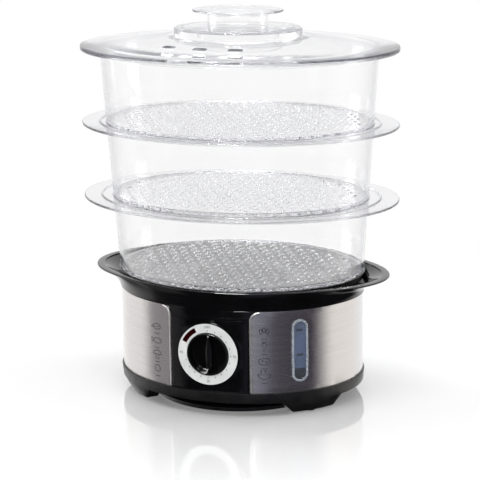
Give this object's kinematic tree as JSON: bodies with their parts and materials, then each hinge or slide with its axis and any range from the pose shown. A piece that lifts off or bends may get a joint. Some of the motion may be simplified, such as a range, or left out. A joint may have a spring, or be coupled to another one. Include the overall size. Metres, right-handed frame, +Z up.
{
  "type": "electric food steamer",
  "caption": "Oval electric food steamer: water tank and heater base with a timer dial, clear stacked baskets with eared rims, and a clear domed lid with a knob.",
  "frame": {"origin": "on the table, under the middle of the oval body", "axes": "+Z up, -Y towards the timer's side, the pouring ears along X"},
  "size_m": [0.31, 0.2338, 0.3702],
  "materials": {
    "black_gloss": "glossy moulded black ABS",
    "black_satin": "satin black polypropylene",
    "steel": "brushed stainless sheet",
    "clear": "clear moulded styrene-acrylonitrile",
    "gauge_clear": "clear, faintly blue window",
    "dial_white": "pale printed ring, dark marks",
    "lamp_red": "translucent red window",
    "lamp_glass": "neon bulb",
    "rubber": "soft grey-black rubber",
    "silicone": "translucent silicone",
    "zinc_steel": "zinc plated steel",
    "timer_can": "pressed tin-plate",
    "bell_metal": "plated bell metal",
    "heater_metal": "cast aluminium with a thin coating",
    "ceramic": "off-white glazed steatite",
    "terminal_nylon": "natural nylon"
  },
  "bodies": {
    "base": {"base_pan": "black_gloss", "foot_pads": "rubber", "cord_hub": "black_satin", "cord_gland": "rubber", "base_screws": "zinc_steel", "hub_screws": "zinc_steel", "housing": "black_gloss", "steel_band": "steel", "front_panel": "black_gloss", "dial_ring": "dial_white", "lamp_lens": "lamp_red", "indicator_lamp": "lamp_glass", "timer_body": "timer_can", "timer_bell": "bell_metal", "timer_screws": "zinc_steel", "gauge_lens": "gauge_clear", "gauge_gasket": "silicone", "water_tank": "black_gloss", "heater_plate": "heater_metal", "heater_seal": "silicone", "heater_bracket": "zinc_steel", "heater_nut": "zinc_steel", "thermostat": "ceramic", "thermal_fuse": "zinc_steel", "terminal_block": "terminal_nylon"},
    "timer_control": {"timer_shaft": "zinc_steel", "timer_knob": "black_satin"},
    "steam_ring": {"steam_ring": "black_satin"},
    "drip_tray": {"drip_tray": "black_satin"},
    "basket_lower": {"basket_lower": "clear"},
    "basket_middle": {"basket_middle": "clear"},
    "basket_upper": {"basket_upper": "clear"},
    "lid": {"lid": "clear", "lid_knob": "clear"}
  },
  "joints": [
    {"name": "timer_turn", "type": "hinge", "parent": "base", "child": "timer_control", "pos_m": [0, -0.0971, 0.0596], "axis": [0, 1, 0], "range_deg": [0, 280]},
    {"name": "steam_ring_lift", "type": "slide", "parent": "base", "child": "steam_ring", "axis": [0, 0, 1], "range_m": [0, 0.02]},
    {"name": "drip_tray_lift", "type": "slide", "parent": "base", "child": "drip_tray", "axis": [0, 0, 1], "range_m": [0, 0.06]},
    {"name": "basket_lower_lift", "type": "slide", "parent": "drip_tray", "child": "basket_lower", "axis": [0, 0, 1], "range_m": [0, 0.1]},
    {"name": "basket_middle_lift", "type": "slide", "parent": "basket_lower", "child": "basket_middle", "axis": [0, 0, 1], "range_m": [0, 0.1]},
    {"name": "basket_upper_lift", "type": "slide", "parent": "basket_middle", "child": "basket_upper", "axis": [0, 0, 1], "range_m": [0, 0.1]},
    {"name": "lid_lift", "type": "slide", "parent": "basket_upper", "child": "lid", "axis": [0, 0, 1], "range_m": [0, 0.1]}
  ]
}
